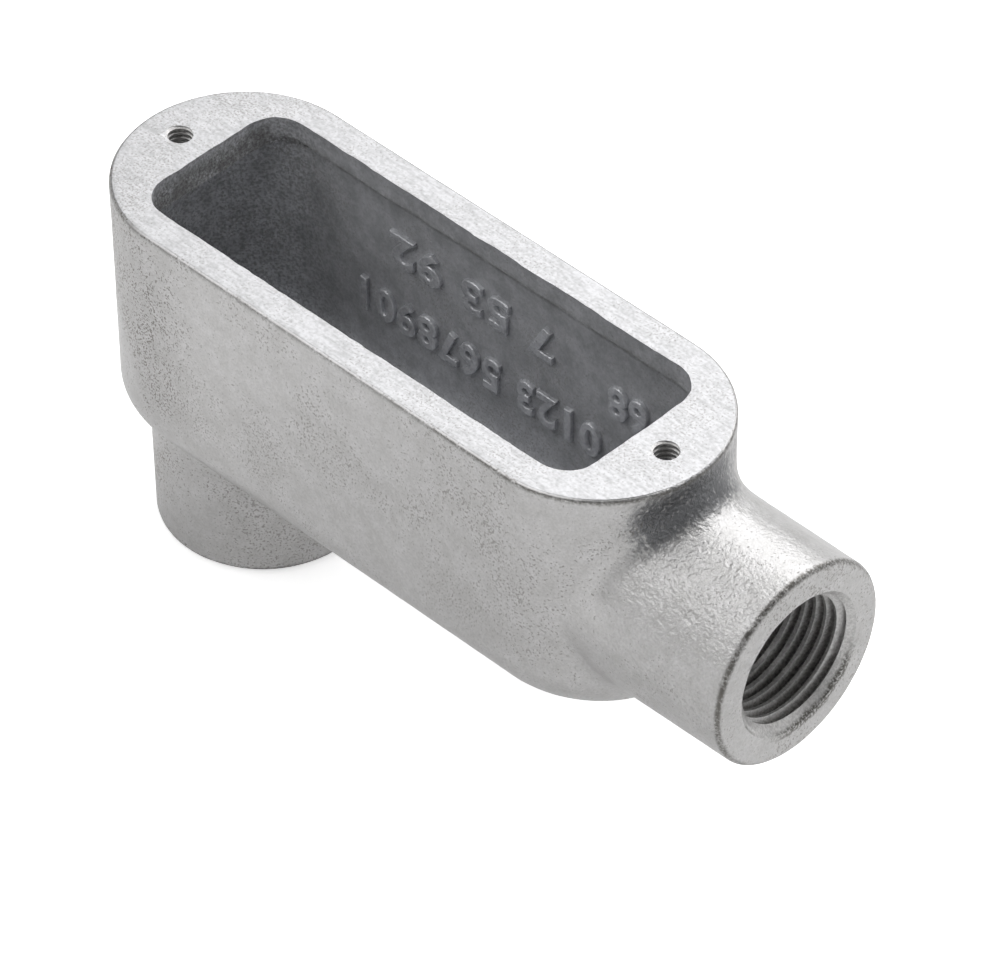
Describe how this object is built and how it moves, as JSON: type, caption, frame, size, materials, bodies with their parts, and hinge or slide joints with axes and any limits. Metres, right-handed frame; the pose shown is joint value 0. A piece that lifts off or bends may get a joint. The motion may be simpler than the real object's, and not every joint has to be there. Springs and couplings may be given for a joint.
{
  "type": "conduit body",
  "caption": "Threaded angle conduit body: an obround trough open on top, with a tapped hub on one end, a tapped hub out of its back and two cover-screw lugs.",
  "frame": {"origin": "centre of the rim face that the cover seats on, midway between the two cover screw holes", "axes": "+Z square to the rim face, out of the cover opening; +X along the trough towards the end hub; the back hub points along -Z"},
  "size_m": [0.1181, 0.035, 0.0565],
  "materials": {
    "zinc_plated_iron": "satin"
  },
  "bodies": {
    "root": {"conduit_body": "zinc_plated_iron"}
  },
  "joints": []
}
